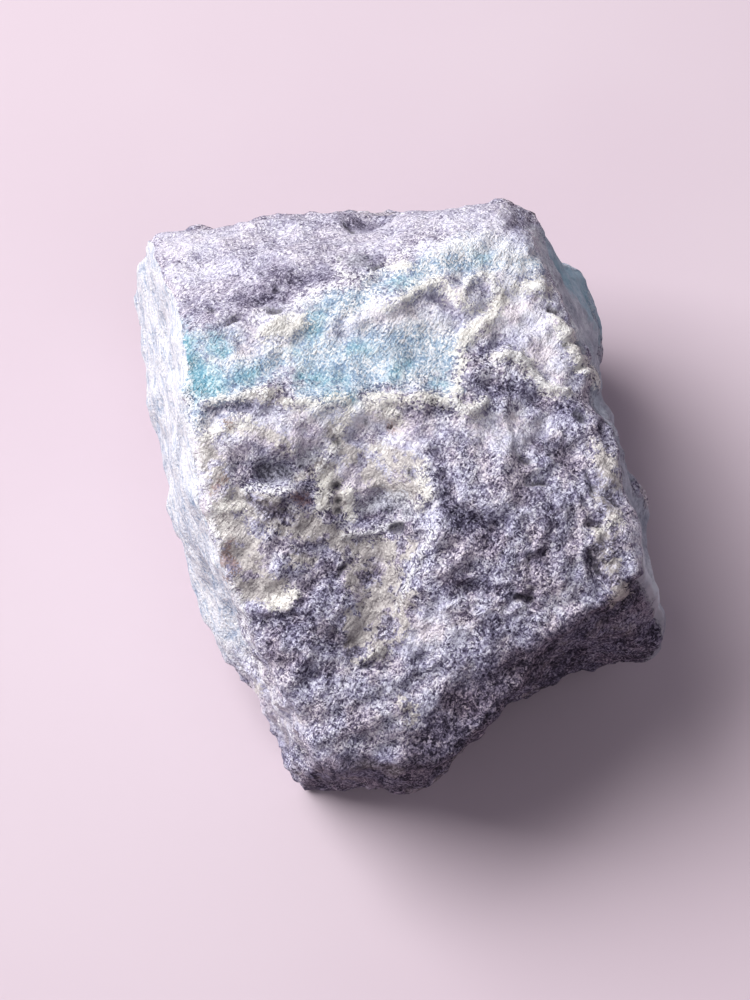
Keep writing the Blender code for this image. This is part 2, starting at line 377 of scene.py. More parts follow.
# %% Marks of the threads
THREAD_MARKS = {
    "upper_thread": [(300, 421, 2), (316, 412, 3), (333, 404, 3)],
    "middle_thread": [(339, 446, 3), (328, 456, 3), (321, 469, 3)],
    "pit_rim": [(242, 489, 2), (254, 487, 3), (267, 490, 3), (281, 490, 3), (292, 488, 2)],
    "hollow_wall": [(434, 531, 2), (420, 556, 3), (408, 584, 2), (398, 606, 2)],
    "dish_rim": [(344, 536, 2), (360, 533, 3), (376, 533, 3), (388, 527, 3), (402, 520, 2)],
    "lobe_rim": [(339, 258, 2), (341, 272, 3), (352, 280, 3), (366, 281, 3), (374, 274, 3), (384, 268, 2)],
    "loop": [(464, 292, 2), (468, 281, 3), (479, 276, 3), (491, 280, 3), (496, 291, 3), (488, 301, 2)],
    "loop_high": [(505, 264, 2), (511, 255, 3), (521, 258, 3), (520, 269, 2)],
    "loop_right": [(522, 294, 2), (529, 285, 3), (540, 288, 3), (540, 299, 2)],
    "arc": [(497, 359, 2), (508, 355, 3), (520, 358, 3), (529, 366, 3)],
    "arc_low": [(529, 366, 3), (536, 377, 3), (549, 388, 3), (566, 391, 2)],
    "ring": [(452, 399, 2), (458, 407, 3), (467, 412, 3), (477, 411, 3), (484, 403, 2)],
    "rim_left": [(202, 404, 2), (234, 398, 2), (254, 392, 2), (268, 393, 2)],
    "left_edge": [(180, 340, 3), (186, 372, 3), (189, 402, 4), (200, 470, 4), (217, 540, 4), (240, 606, 3)],
    "low_edge": [(240, 606, 3), (256, 660, 3), (284, 716, 3), (300, 752, 2)],
}
print(len(THREAD_MARKS), "marks of thread")

# %% [markdown]
# The hollow below the vein is lined with a smooth greenish grey, which also spreads to its left and along
# the vein's lower edge. A shallow dish in the hollow and an oval beside it have a bluish lining.

# %% Marks of the linings
GREEN_MARKS = {
    "hollow_top": [(346, 546, 10), (366, 552, 13), (392, 550, 13), (412, 548, 8)],
    "hollow": [(362, 580, 18), (385, 580, 20), (378, 606, 19), (366, 632, 17), (358, 650, 9)],
    "hollow_left": [(246, 560, 10), (250, 584, 17), (272, 592, 16), (286, 604, 9)],
    "between": [(292, 556, 9), (312, 560, 8)],
    "tongue": [(318, 460, 6), (328, 480, 10), (334, 500, 12), (350, 506, 10)],
    "rim_side": [(252, 398, 7), (272, 396, 9), (288, 404, 8), (320, 406, 7), (346, 402, 6)],
    "spill": [(350, 404, 7), (342, 424, 6), (330, 448, 6)],
    "upper_band": [(500, 300, 8), (484, 322, 9), (464, 338, 8), (458, 356, 6)],
    "pit_side": [(296, 478, 5), (310, 476, 6)],
    "left_rib": [(204, 436, 6), (230, 428, 6), (248, 424, 4)],
    "left_field": [(214, 520, 9), (232, 512, 9)],
    "right_foot": [(600, 440, 8), (608, 500, 14), (606, 560, 14), (618, 592, 9)],
    "middle_field": [(420, 462, 6), (424, 500, 8)],
    "left_beige": [(282, 352, 8), (268, 352, 6)],
    "left_half": [(206, 440, 10), (216, 486, 14), (230, 530, 19), (244, 548, 17)],
    "left_middle": [(240, 500, 12), (262, 506, 14), (290, 522, 15), (318, 530, 14), (336, 540, 12)],
    "pit_top": [(240, 430, 8), (270, 436, 9), (284, 446, 9)],
    "high_middle": [(366, 404, 9), (386, 414, 12), (404, 406, 7), (380, 446, 10), (402, 462, 12)],
    "centre": [(330, 430, 10), (352, 456, 12), (380, 480, 12), (410, 490, 12)],
    "wall_foot": [(404, 600, 10), (394, 630, 12), (376, 652, 9)],
    "low_tongue": [(352, 626, 14), (352, 652, 10)],
    "tip_spot": [(404, 700, 6), (412, 716, 6)],
    "left_edge_low": [(250, 690, 5), (262, 684, 4)],
}
DISH_MARKS = {
    "dish": [(366, 508, 6), (382, 500, 11), (402, 503, 11), (408, 514, 8)],
    "oval": [(262, 470, 8), (274, 474, 12), (284, 472, 11)],
    "pit_side": [(300, 464, 7), (312, 456, 8)],
    "arm_end": [(268, 368, 7), (282, 358, 7)],
    "lobe": [(352, 264, 7), (364, 262, 7)],
}
print(len(GREEN_MARKS) + len(DISH_MARKS), "marks of the linings")

# %% [markdown]
# The rock itself isn't even. Its dark grains gather in dusky patches.

# %% Marks of the dusky rock
DUSK_MARKS = {
    "under_left_pool": [(206, 412, 5), (226, 408, 7), (248, 406, 6)],
    "oval": [(262, 471, 6), (274, 474, 8), (282, 472, 7)],
    "left_high": [(238, 446, 7), (256, 440, 8), (262, 450, 5)],
    "middle_high": [(304, 424, 5), (318, 428, 8), (308, 442, 7)],
    "centre_high": [(350, 438, 6), (366, 434, 9), (388, 432, 9), (398, 444, 6)],
    "right_of_rim": [(408, 412, 7), (424, 414, 9), (414, 430, 8), (430, 436, 5)],
    "under_ridge": [(422, 300, 3), (432, 296, 4), (446, 304, 6), (458, 314, 5)],
    "under_ridge_left": [(396, 316, 3), (410, 314, 4)],
    "in_loop": [(478, 288, 7), (484, 293, 6)],
    "in_loop_high": [(513, 263, 4)],
    "in_loop_right": [(532, 294, 5)],
    "right_high": [(500, 330, 3), (520, 322, 4), (545, 330, 5)],
    "by_band": [(482, 350, 4), (496, 346, 5), (508, 342, 3)],
    # under_arc is a painted shadow under the cream arc.
    "under_arc": [(474, 384, 5), (496, 386, 8), (520, 392, 8), (548, 404, 8), (572, 410, 6)],
    "right_strip": [(536, 440, 9), (560, 450, 10), (574, 470, 8)],
    "plateau": [(440, 460, 8), (446, 500, 7), (466, 524, 14), (490, 540, 14), (500, 520, 10)],
    "plateau_right": [(520, 496, 9), (548, 506, 10), (560, 540, 10), (540, 560, 9)],
    "plateau_low": [(452, 580, 8), (500, 590, 9), (530, 600, 8)],
    "dark_band": [(258, 622, 8), (276, 624, 13), (298, 628, 16), (318, 640, 12), (334, 646, 7)],
    "low_left": [(272, 650, 8), (300, 664, 8), (330, 676, 8)],
    "hollow_left": [(303, 580, 8), (312, 592, 6)],
    "hollow_middle": [(328, 556, 6), (332, 574, 8), (328, 592, 6)],
    "hollow_high": [(304, 548, 4), (314, 550, 6), (322, 546, 3)],
    "hollow_right": [(374, 570, 6), (366, 580, 6), (358, 588, 4)],
    "hollow_low": [(300, 602, 6)],
    "dish_low": [(362, 520, 4), (374, 516, 5), (386, 512, 4)],
    "left_mid": [(290, 516, 7), (270, 512, 6), (254, 500, 5)],
    "tip": [(320, 752, 4), (356, 762, 5), (386, 756, 4)],
    "low_right": [(474, 640, 8), (500, 620, 7), (446, 668, 8)],
    "brow_low": [(242, 302, 8), (264, 296, 8), (290, 290, 7)],
    "brow_mid": [(270, 270, 10), (300, 280, 9), (320, 274, 8)],
    "brow_top": [(350, 216, 7), (368, 222, 8), (384, 214, 5)],
    "lobe": [(364, 262, 4), (380, 258, 4)],
    "vein_speckle": [(296, 430, 4), (308, 440, 5)],
    "brow_right": [(510, 222, 6), (524, 228, 7)],
    # foot_gaps and foot_gaps_low are painted shade in the crevices between the knobs of the crag's foot.
    "foot_gaps": [(592, 474, 6), (604, 488, 5), (616, 500, 7), (596, 514, 7)],
    "foot_gaps_low": [(616, 540, 7), (590, 556, 8), (604, 580, 5), (622, 574, 5)],
    "foot_top": [(600, 424, 6), (606, 444, 5)],
}
print(len(DUSK_MARKS), "marks of dusky rock")

# %% [markdown]
# Elsewhere the dark grains thin out, as on the brow and around the vein. Above the scooped front, where the
# overhang is in shade, a brown painted shade darkens the rock.

# %% Marks of the pale rock and of the painted shade
PALE_MARKS = {
    "brow_top": [(176, 246, 14), (204, 240, 11), (260, 232, 3), (340, 228, -3)],
    "brow_top_right": [(340, 228, -3), (420, 222, 6), (500, 220, 14)],
    "brow_middle": [(180, 276, 14), (210, 270, 11), (250, 264, 2), (340, 250, 0), (390, 240, 6)],
    "vein": [(190, 360, 22), (260, 345, 30), (340, 335, 34), (430, 325, 36), (480, 300, 30)],
    "right_high": [(480, 300, 34), (520, 306, 38), (548, 345, 30), (560, 380, 16)],
    "under_vein": [(196, 424, 18), (250, 430, 24), (320, 430, 26), (390, 425, 24), (430, 430, 12)],
    "left_field": [(204, 440, 22), (214, 500, 30), (236, 550, 26), (260, 590, 18)],
    "centre": [(350, 470, 22), (385, 470, 24), (410, 448, 18)],
    "low_middle": [(412, 640, 18), (440, 620, 16)],
    "low_left": [(258, 690, 18), (282, 726, 18)],
    "right_middle": [(470, 424, 18), (506, 436, 20), (540, 428, 16)],
    "cream_right": [(486, 318, 20), (516, 320, 24), (548, 342, 18)],
    "right_wall_low": [(648, 500, 16), (654, 560, 18), (656, 610, 16)],
    "tip": [(330, 764, 10), (372, 774, 10)],
    "upper": [(436, 262, 20), (476, 254, 30), (520, 256, 32)],
}
# Painted shade above the scooped front, where the overhang is in shade.
PAINTED_SHADE_MARKS = {
    "above_scoop": [(612, 622, 6), (566, 640, 11), (528, 660, 15), (494, 688, 22)],
    "above_scoop_left": [(494, 688, 22), (462, 714, 23), (432, 746, 17)],
    "tip": [(432, 746, 15), (402, 770, 9), (372, 782, 5)],
}
print(len(PALE_MARKS) + len(PAINTED_SHADE_MARKS), "marks of pale and shaded rock")

# %% [markdown]
# There are small holes and cracks, which are sunk as well as dark, partly from dark grains and partly from
# painted shade inside them, and a few stains of rust.

# %% Marks of the holes and the rust
# Pits, cracks and crevices: their dark is partly dark grains and partly painted shade in the holes.
PIT_MARKS = {
    "hole_high": [(336, 486, 5)],
    "hole_middle": [(338, 501, 4)],
    "hole_low": [(338, 511, 4)],
    "dish_hole": [(394, 529, 6), (400, 528, 6)],
    "crevice": [(337, 578, 2), (341, 570, 3), (344, 566, 2)],
    "low_pit": [(362, 668, 2), (372, 665, 2)],
    "right_pit": [(536, 482, 3), (546, 482, 3)],
    "right_shade": [(523, 457, 3), (529, 460, 3)],
    "indigo": [(578, 414, 6), (584, 418, 5)],
    "crag_eye": [(537, 296, 4)],
    "crag_eye_low": [(567, 346, 4)],
    "crag_shade": [(553, 308, 3), (560, 312, 3)],
    "brow_notch": [(228, 320, 3), (234, 316, 3), (240, 316, 2)],
    "brow_dark": [(270, 309, 4), (280, 310, 4)],
    "brow_specks": [(276, 287, 3)],
    "brow_speck_left": [(211, 308, 3), (214, 312, 2)],
    "brow_top": [(344, 222, 2), (352, 230, 3)],
    "lobe_crack": [(374, 269, 2), (386, 263, 2)],
    "under_rim": [(366, 420, 3)],
    "rim_hole": [(391, 426, 3)],
    "pit_dot": [(285, 499, 3)],
    "fork": [(519, 598, 4), (530, 600, 4)],
    "thread_shade": [(334, 438, 4), (338, 444, 3)],
    "ring_dot": [(328, 334, 2)],
    "column_dot": [(414, 478, 3), (410, 472, 3)],
    "foot_high": [(586, 472, 1), (594, 488, 2)],
    "foot_middle": [(588, 520, 1), (601, 527, 1)],
    "foot_low": [(590, 550, 1), (598, 574, 2)],
    "foot_end": [(614, 500, 3), (618, 506, 2)],
    "crag_seams": [(578, 346, 2), (582, 354, 2)],
    "right_crack": [(531, 540, 1), (529, 566, 1), (532, 590, 1)],
}
RUST_MARKS = {
    "spot": [(294, 497, 4), (304, 501, 5), (309, 503, 3)],
    "edge": [(231, 540, 3), (226, 558, 4), (232, 570, 4)],
    "edge_low": [(228, 580, 3)],
    "speck": [(224, 477, 3), (210, 494, 2)],
    "rim_hole": [(391, 426, 4)],
    "left_field": [(226, 424, 4)],
}
print(len(PIT_MARKS) + len(RUST_MARKS), "marks of holes and rust")

# %% [markdown]
# A field is the greatest depth over a mineral's marks. Real borders wander, so the places are first moved a
# few pixels by smooth relief, a lot for areas and little for threads and pits. `OFF_THE_MAP` is the depth of
# a point that lies far outside.

# %% From marks to fields
OFF_THE_MAP = 4.0
AREA_WANDER = ((2.4, 6.0), (1.1, 3.0))
THREAD_WANDER = ((2.4, 1.5),)


def depth_inside(points, marks):
    """The greatest of reach less distance over all marks, in the units of the points.

    The distance is to the nearest spot on the line between two of a path's points, and the reach there is
    the mix of theirs.
    """
    deepest = np.full(len(points), -np.inf)
    for path in marks.values():
        for (*start, start_reach), (*end, end_reach) in zip(path, path[1:] or path):
            along, gap = nearest_on_line(points, start, end)
            deepest = np.maximum(deepest, start_reach + along * (end_reach - start_reach) - gap)
    return deepest


def wandered(points, layers, seed):
    """The places of points in the picture, moved by layers of smooth relief of a size in mm and a push."""
    push = sum(
        rise * np.stack([lumps(points, size, seed), lumps(points, size, seed + 1)], axis=1)
        for size, rise in layers
    )
    return picture_place(points) + push


on_map = -OFF_THE_MAP * (1 - np.clip((faces_camera - MAP_EDGE) / MAP_FADE, 0, 1))
area_places = wandered(body, AREA_WANDER, 90)
thread_places = wandered(body, THREAD_WANDER, 94)
marks_of = {
    "blue": BLUE_MARKS,
    "teal": TEAL_MARKS,
    "white": WHITE_MARKS,
    "cream": CREAM_MARKS,
    "thread": THREAD_MARKS,
    "green": GREEN_MARKS,
    "dish": DISH_MARKS,
    "dusk": DUSK_MARKS,
    "pale": PALE_MARKS,
    "shade": PAINTED_SHADE_MARKS,
    "pit": PIT_MARKS,
    "rust": RUST_MARKS,
}
fields = {}
for name, marks in marks_of.items():
    where = thread_places if name in ("thread", "pit") else area_places
    fields[name] = np.maximum(depth_inside(where, marks) / PIXELS_PER_MM, -OFF_THE_MAP) + on_map
    print(name, "covers", round(100 * np.mean(fields[name] > 0), 1), "% of the points")

# %% [markdown]
# The sides carry skins where the stone parted along a vein: white fibres on the left, a smooth grey-blue
# coat on the right with a blue pool at its top. The walls of the scooped front, which face forward and down,
# away from the light, get a brown painted shade. The vein itself is a slab that dips towards the back, so it
# comes out again, as a band, on the back wall. A skin is a field too. It ends where the surface turns away
# from the skin's side and a little above the ground, and the `_TO_MM` numbers say how fast it gets deeper
# from there. Smooth relief opens gaps in the coat. The marks of blue and cream on the sides are paths in
# space, with a reach in millimetres.

# %% The skins on the sides
SIDE_BLUE = {
    "right_pool": [(18.5, 25.5, 25, 4.5), (21.0, 24.0, 17, 4.5)],
    "right_streak": [(23.0, 16.0, 20, 1.5), (25.0, 4.0, 13, 2.0)],
}
SIDE_CREAM = {
    "back_thread": [(-16, 31, 22, 0.8), (-4, 32, 12, 1.4), (6, 32, 8, 0.8)],
    "heel_thread": [(-10, -24, 4, 0.6), (4, -24, 8, 1.2), (16, -17, 6, 0.8)],
    "right_thread": [(24, 12, 6, 0.8), (26, 0, 10, 1.2), (25, -10, 9, 0.8)],
}
SLAB_FACING = facing(100, 40)
SLAB_DISTANCE, SLAB_HALF, SLAB_WANDER = 19.5, 2.6, 2.4
BACK_WALL = 0.3
SHADE_FACING = facing(-65, -10)
LEFT_EDGE, RIGHT_EDGE, SHADE_EDGE = 0.62, 0.68, 0.55
LEFT_SKIN_END = -14.0
LEFT_FOOT, RIGHT_FOOT = 4.0, 2.0
TURN_TO_MM, SHADE_TO_MM, FOOT_TO_MM, END_TO_MM = 9.0, 6.0, 0.4, 0.25
COAT_DEPTH = 0.9
COAT_GAPS = ((6.5, 2.6), (2.8, 1.6))


def band_inside(points):
    """How deep points lie inside the slab of the vein, whose two faces wander by smooth relief."""
    from_middle = (points - (0, 0, HEART_HEIGHT)) @ SLAB_FACING - SLAB_DISTANCE
    return SLAB_HALF + SLAB_WANDER * lumps(points, 9.0, 31) - np.abs(from_middle)


looks_left = -outward[:, 0] - 0.25 * outward[:, 2]
looks_right = outward[:, 0] - 0.35 * outward[:, 2]
fields["fibre"] = np.minimum.reduce([
    (looks_left - LEFT_EDGE) * TURN_TO_MM,
    (body[:, 1] - LEFT_SKIN_END) * END_TO_MM,
    (body[:, 2] - LEFT_FOOT) * FOOT_TO_MM,
])
gaps = sum(rise * lumps(body, size, 41 + layer) for layer, (size, rise) in enumerate(COAT_GAPS))
fields["coat"] = np.minimum.reduce([
    (looks_right - RIGHT_EDGE) * TURN_TO_MM,
    (body[:, 2] - RIGHT_FOOT) * FOOT_TO_MM,
    COAT_DEPTH + gaps,
])
# Painted shade: walls that face forward and down, away from the light, are darkened as if shaded.
fields["shade"] = np.maximum(fields["shade"], (outward @ SHADE_FACING - SHADE_EDGE) * SHADE_TO_MM)
on_the_back = (faces_camera < MAP_EDGE) & (outward[:, 1] > BACK_WALL)
hidden_band = np.where(on_the_back, band_inside(body), -OFF_THE_MAP)
fields["blue"] = np.maximum.reduce([fields["blue"], depth_inside(body, SIDE_BLUE), hidden_band])
fields["cream"] = np.maximum(fields["cream"], depth_inside(body, SIDE_CREAM))
for name in ("fibre", "coat", "blue"):
    print(name, "covers", round(100 * np.mean(fields[name] > 0), 1), "% of the points")

# %% [markdown]
# The fresh face has small forms of its own that the eye finds at once: steps, knobs, grooves and the walls of
# the hollow. Each is a mark on the same map with a height, below zero where it is sunk, and an edge: over how
# many millimetres the height is reached, which makes a form crisp or soft. `FORM_START` is the part of the
# edge that lies outside the mark.

# %% Small forms of the fresh face
SMALL_FORMS = {
    "hollow": (-0.9, 2.6, [(366, 556, 24), (384, 580, 26), (376, 612, 22), (362, 640, 14)]),
    "hollow_step": (-0.2, 0.8, [(350, 548, 7), (372, 546, 9), (396, 540, 9), (412, 548, 8)]),
    "hollow_wall": (0.3, 1.2, [(440, 526, 9), (428, 552, 10), (418, 578, 9), (412, 600, 7)]),
    "dish": (-0.2, 1.4, [(366, 506, 8), (384, 498, 11), (404, 502, 12), (410, 514, 8)]),
    "column": (0.15, 0.8, [(414, 452, 5), (426, 472, 7), (422, 490, 7), (422, 508, 6)]),
    "tongue": (0.25, 0.8, [(340, 446, 4), (330, 462, 5), (352, 500, 9)]),
    "left_step": (-0.35, 0.4, [(304, 446, 8), (308, 468, 9), (296, 478, 7)]),
    "pit_floor": (-0.5, 0.8, [(262, 470, 10), (276, 474, 13), (286, 470, 11)]),
    "under_pit": (0.4, 0.5, [(244, 494, 5), (262, 498, 6), (284, 497, 6), (300, 492, 4)]),
    "left_patch": (-0.7, 2.0, [(248, 566, 14), (256, 590, 17), (276, 598, 12)]),
    "left_patch_rim": (0.4, 0.5, [(262, 612, 5), (282, 612, 6), (298, 602, 5)]),
    "rim_step": (0.2, 0.6, [(200, 406, 4), (240, 400, 5), (270, 402, 7), (290, 402, 5)]),
    "rim_right": (0.35, 0.5, [(370, 398, 5), (398, 402, 6), (424, 400, 6), (448, 402, 5)]),
    "under_rim": (-0.35, 0.5, [(360, 424, 7), (384, 430, 8), (410, 424, 7)]),
    "band": (0.25, 0.8, [(502, 294, 5), (492, 314, 8), (474, 330, 9), (460, 346, 7), (458, 360, 5)]),
    "ring": (0.35, 0.4, [(454, 404, 4), (464, 413, 5), (476, 412, 4), (485, 402, 3)]),
    "ring_middle": (-0.3, 0.4, [(466, 398, 5)]),
    "arc": (0.3, 0.4, [(498, 357, 3), (516, 357, 5), (530, 366, 4), (549, 388, 5), (567, 391, 4)]),
    "under_arc": (-0.2, 0.8, [(484, 382, 8), (512, 384, 9), (536, 398, 8)]),
    "crag_knobs": (0.45, 0.5, [(540, 288, 8)]),
    "crag_knob_two": (0.4, 0.5, [(556, 322, 7), (566, 332, 5)]),
    "crag_knob_three": (0.35, 0.4, [(570, 350, 6), (578, 362, 5)]),
    "crag_knob_four": (0.25, 0.4, [(586, 374, 5), (596, 388, 5)]),
    "crag_gap": (-0.5, 0.4, [(550, 306, 4), (560, 310, 4)]),
    "crag_gap_two": (-0.4, 0.4, [(562, 340, 3), (578, 344, 3)]),
    "crag_gap_three": (-0.4, 0.4, [(574, 370, 3), (590, 364, 4)]),
    "foot_knob": (0.4, 0.4, [(598, 464, 5), (608, 482, 5)]),
    "foot_knob_two": (0.35, 0.4, [(600, 502, 5), (612, 516, 6)]),
    "foot_knob_three": (0.4, 0.4, [(598, 538, 5), (610, 556, 6)]),
    "foot_knob_four": (0.4, 0.5, [(606, 578, 6), (620, 594, 8)]),
    "foot_gap": (-0.35, 0.6, [(586, 476, 4), (594, 490, 4), (616, 500, 3)]),
    "foot_gap_two": (-0.45, 0.5, [(588, 522, 4), (604, 526, 3)]),
    "foot_crease": (-0.35, 0.8, [(584, 492, 4), (590, 520, 5), (586, 548, 4), (596, 580, 5), (602, 600, 5)]),
    "right_ledge": (0.4, 0.4, [(528, 468, 5), (548, 462, 6)]),
    "under_ledge": (-0.5, 0.5, [(532, 480, 6), (550, 478, 5)]),
    "right_shade": (-0.25, 0.8, [(518, 452, 6), (530, 460, 6), (524, 440, 5)]),
    "plateau_dip": (-0.4, 1.2, [(446, 480, 10), (452, 520, 14), (484, 540, 16), (500, 524, 10)]),
    "plateau_rise": (0.2, 1.6, [(506, 432, 8), (500, 470, 12), (514, 500, 8)]),
    "plateau_low": (0.4, 1.0, [(560, 560, 12), (566, 590, 9)]),
    "crack": (-0.2, 0.4, [(530, 536, 3), (527, 566, 3), (530, 594, 3)]),
    "fork": (-0.45, 0.5, [(506, 606, 5), (526, 600, 6), (536, 592, 4)]),
    "groove_high": (-0.35, 0.5, [(310, 727, 4), (338, 716, 5), (368, 704, 5), (384, 692, 4)]),
    "groove_low": (-0.35, 0.5, [(346, 762, 5), (396, 747, 6), (440, 738, 5), (468, 730, 4)]),
    "groove_left": (-0.3, 0.4, [(290, 708, 4), (293, 722, 4)]),
    "groove_right": (-0.35, 0.5, [(404, 688, 4), (424, 674, 6), (444, 668, 4)]),
    "fold": (0.35, 0.6, [(318, 740, 6), (350, 730, 7), (380, 718, 7), (410, 700, 6)]),
    "fold_low": (0.35, 0.6, [(330, 770, 6), (372, 768, 7), (420, 752, 6)]),
    "sliver": (0.12, 0.4, [(366, 657, 4), (384, 650, 4)]),
    "under_sliver": (-0.2, 0.6, [(358, 668, 6), (374, 666, 6)]),
    "dark_band": (-0.3, 0.8, [(268, 624, 8), (300, 624, 11), (330, 636, 8)]),
    "brow_notch": (-0.4, 0.4, [(226, 322, 4), (240, 316, 4)]),
    "brow_dent": (-0.35, 0.6, [(262, 302, 7), (288, 300, 7)]),
    "brow_top": (-0.5, 0.7, [(346, 222, 5), (366, 222, 8), (388, 214, 6)]),
    "lobe": (0.4, 0.5, [(350, 266, 8), (366, 264, 9)]),
    "lobe_crack": (-0.4, 0.3, [(374, 271, 3), (388, 263, 3)]),
    "vein_dent": (-0.35, 0.8, [(200, 368, 12), (212, 384, 12)]),
    "vein_rise": (0.3, 0.8, [(276, 334, 12), (300, 326, 10)]),
    "vein_middle": (-0.3, 0.8, [(306, 378, 12), (340, 378, 12)]),
    "fluff": (0.35, 0.6, [(356, 320, 8), (378, 310, 11), (398, 304, 8)]),
    "ridge": (0.22, 0.7, [(384, 308, 4), (402, 300, 6), (430, 282, 6), (444, 284, 5), (462, 300, 5)]),
    "under_ridge": (-0.2, 0.9, [(414, 304, 7), (436, 300, 8), (456, 312, 7)]),
}
FORM_START = 0.35


def eased(values, low, high):
    """0 up to a low value and 1 from a high one, eased in between."""
    part = np.clip((values - low) / (high - low), 0, 1)
    return part * part * (3 - 2 * part)


risen = np.zeros(len(body))
for rise, edge, path in SMALL_FORMS.values():
    depth = depth_inside(area_places, {"form": path}) / PIXELS_PER_MM + on_map
    risen += rise * eased(depth / edge, -FORM_START, 1 - FORM_START)
print(len(SMALL_FORMS), "small forms from", round(risen.min(), 2), "to", round(risen.max(), 2), "mm")

# %% [markdown]
# Minerals differ in relief as well as in colour. Cream ribs and threads stand up because they are harder, and
# pits go in. `rough` says how much of the fine chips a place gets: little on the skins, and less on the brow,
# the vein and the lining of the hollow than on the rock, and `CALM` says how much less. The steep sides have
# wider chips and level ledges as well, and the bed that the stone lies on stays on the ground. Each layer has
# a size and a height.

# %% The relief that follows the minerals
FINE_CHIPS = ((2.6, 0.8), (1.5, 0.55), (0.9, 0.35))
FINE_LUMPS = ((1.9, 0.3), (1.1, 0.2))
SIDE_CHIPS = ((7.0, 0.96), (3.6, 0.54))
SIDE_LEDGES = (3.2, 0.66)
LEDGE_STRETCH = (0.35, 0.35, 1.0)
HOLLOW_STRIPES = (1.1, 0.45)
ROCK_STRIPES = (1.8, 0.5)
FIBRE_STRIPES = (0.9, 0.25)
CALM = {"skins": 0.75, "brow": 0.4, "blue": 0.45, "green": 0.35, "dish": 0.2}
BROW_EDGE, BROW_FADE = 0.82, 0.12
STEEP_BELOW, STEEP_ABOVE, STEEP_FADE = 0.55, -0.9, 0.3
MINERAL_RISES = {
    "cream": (0.17, -0.35, 0.25),
    "thread": (0.20, -0.25, 0.15),
    "blue": (-0.12, -0.30, 0.30),
    "pit": (-0.50, -0.20, 0.35),
    "dish": (-0.14, -0.30, 0.30),
    "dusk": (-0.12, -0.30, 0.40),
}


def inside(name, low=-0.3, high=0.3):
    """0 outside a mineral and 1 inside it, eased over a band around its edge."""
    return eased(fields[name], low, high)


def stripes(points, compass, size, seed, stretch=0.2):
    """Smooth random relief that is drawn out along a compass direction of the ground plane."""
    way = facing(compass, 0)
    return lumps(points - np.outer(points @ way, way) * (1 - stretch), size, seed)


fields["smooth"] = np.clip((outward @ facing(*BREAKS["brow"][:2]) - BROW_EDGE) / BROW_FADE, 0, 1)
skins = np.clip(inside("fibre", -0.5, 0.5) + 0.75 * inside("coat", -0.5, 0.5), 0, 1)
rough = (1 - CALM["skins"] * skins) * (1 - CALM["brow"] * fields["smooth"])
calm_vein = CALM["blue"] * inside("blue") + CALM["green"] * inside("green") * (1 - inside("blue"))
rough *= 1 - calm_vein - CALM["dish"] * inside("dish")
fine = sum(rise * chips(body, size, 60 + k) for k, (size, rise) in enumerate(FINE_CHIPS))
fine += sum(rise * lumps(body, size, 70 + k) for k, (size, rise) in enumerate(FINE_LUMPS))
upward = outward[:, 2]
steep = np.clip((STEEP_BELOW - upward) / STEEP_FADE, 0, 1)
steep *= np.clip((upward - STEEP_ABOVE) / STEEP_FADE, 0, 1)
sides = sum(rise * chips(body, size, 50 + k) for k, (size, rise) in enumerate(SIDE_CHIPS))
sides += SIDE_LEDGES[1] * lumps(body * LEDGE_STRETCH, SIDE_LEDGES[0], 54)
mineral = sum(rise * inside(name, low, high) for name, (rise, low, high) in MINERAL_RISES.items())
striped = (
    HOLLOW_STRIPES[1] * inside("green") * stripes(body, 52, HOLLOW_STRIPES[0], 84)
    + ROCK_STRIPES[1] * rough * stripes(body, 40, ROCK_STRIPES[0], 86, 0.4)
    + FIBRE_STRIPES[1] * inside("fibre") * stripes(body, 90, FIBRE_STRIPES[0], 83, 0.12)
)
shaped = rough * fine + steep * (0.35 + 0.65 * rough) * sides + mineral + risen + striped
points = body + outward * shaped[:, None]
points[:, 2] = np.clip(points[:, 2], 0, None)
print("fine relief from", round(shaped.min(), 2), "to", round(shaped.max(), 2), "mm")

# %% [markdown]
# The points and squares now go into a mesh as whole arrays. Every field becomes an attribute of the mesh,
# so the material can read it. `relief` tells the material how far a point stands out from its close
# surroundings, so the small forms of the face count for little in it. `side` is 1 on the steep sides, and
# `smooth` is 1 on the brow.

# %% The stone's mesh
FORMS_LEFT_OUT = 0.75

place = (points - (*MIDDLE, 0)) * MM
mesh = bpy.data.meshes.new("larimar_stone")
mesh.from_pydata(place, [], squares)
mesh.polygons.foreach_set("use_smooth", np.ones(len(squares), dtype=bool))
fields["relief"] = shaped - FORMS_LEFT_OUT * risen
fields["side"] = steep
for name, field in fields.items():
    attribute = mesh.attributes.new(name, "FLOAT", "POINT")
    attribute.data.foreach_set("value", field.astype(np.float32))
mesh.update()
stone = bpy.data.objects.new("larimar_stone", mesh)
bpy.context.scene.collection.objects.link(stone)

check = bmesh.new()
check.from_mesh(mesh)
open_edges = sum(1 for edge in check.edges if not edge.is_manifold)
volume = check.calc_volume(signed=True) / MM**3 / 1000
print("volume", round(volume, 1), "cubic centimetres, open edges", open_edges)
check.free()

# %% [markdown]
# A material is a graph of nodes, and long sums read badly as nodes. So one small class wraps a socket and
# lets Python's operators add the Math nodes.

# %% Shader maths as Python expressions
class Flow:
    """A number that runs through a material: its operators add Math nodes and give the result."""

    def __init__(self, graph, socket):
        self.graph, self.socket = graph, socket

    def math(self, operation, *others, clamp=False):
        values = dict(enumerate((self, *others)))
        return self.graph.node("ShaderNodeMath", values, operation=operation, use_clamp=clamp)

    def __add__(self, other):
        return self.math("ADD", other)

    def __sub__(self, other):
        return self.math("SUBTRACT", other)

    def __mul__(self, other):
        return self.math("MULTIPLY", other)

    def __radd__(self, other):
        return self + other

    def __rsub__(self, other):
        return self * -1.0 + other

    def clamped(self):
        return self.math("ADD", 0.0, clamp=True)


print("sums and products of sockets can be written as in Python")

# %% [markdown]
# A second class holds one material's graph. Its method `node` adds any kind of node, and the short methods
# after it add the four that a stone needs most: a field, a mix of colours, a scale of colours and an eased
# step.

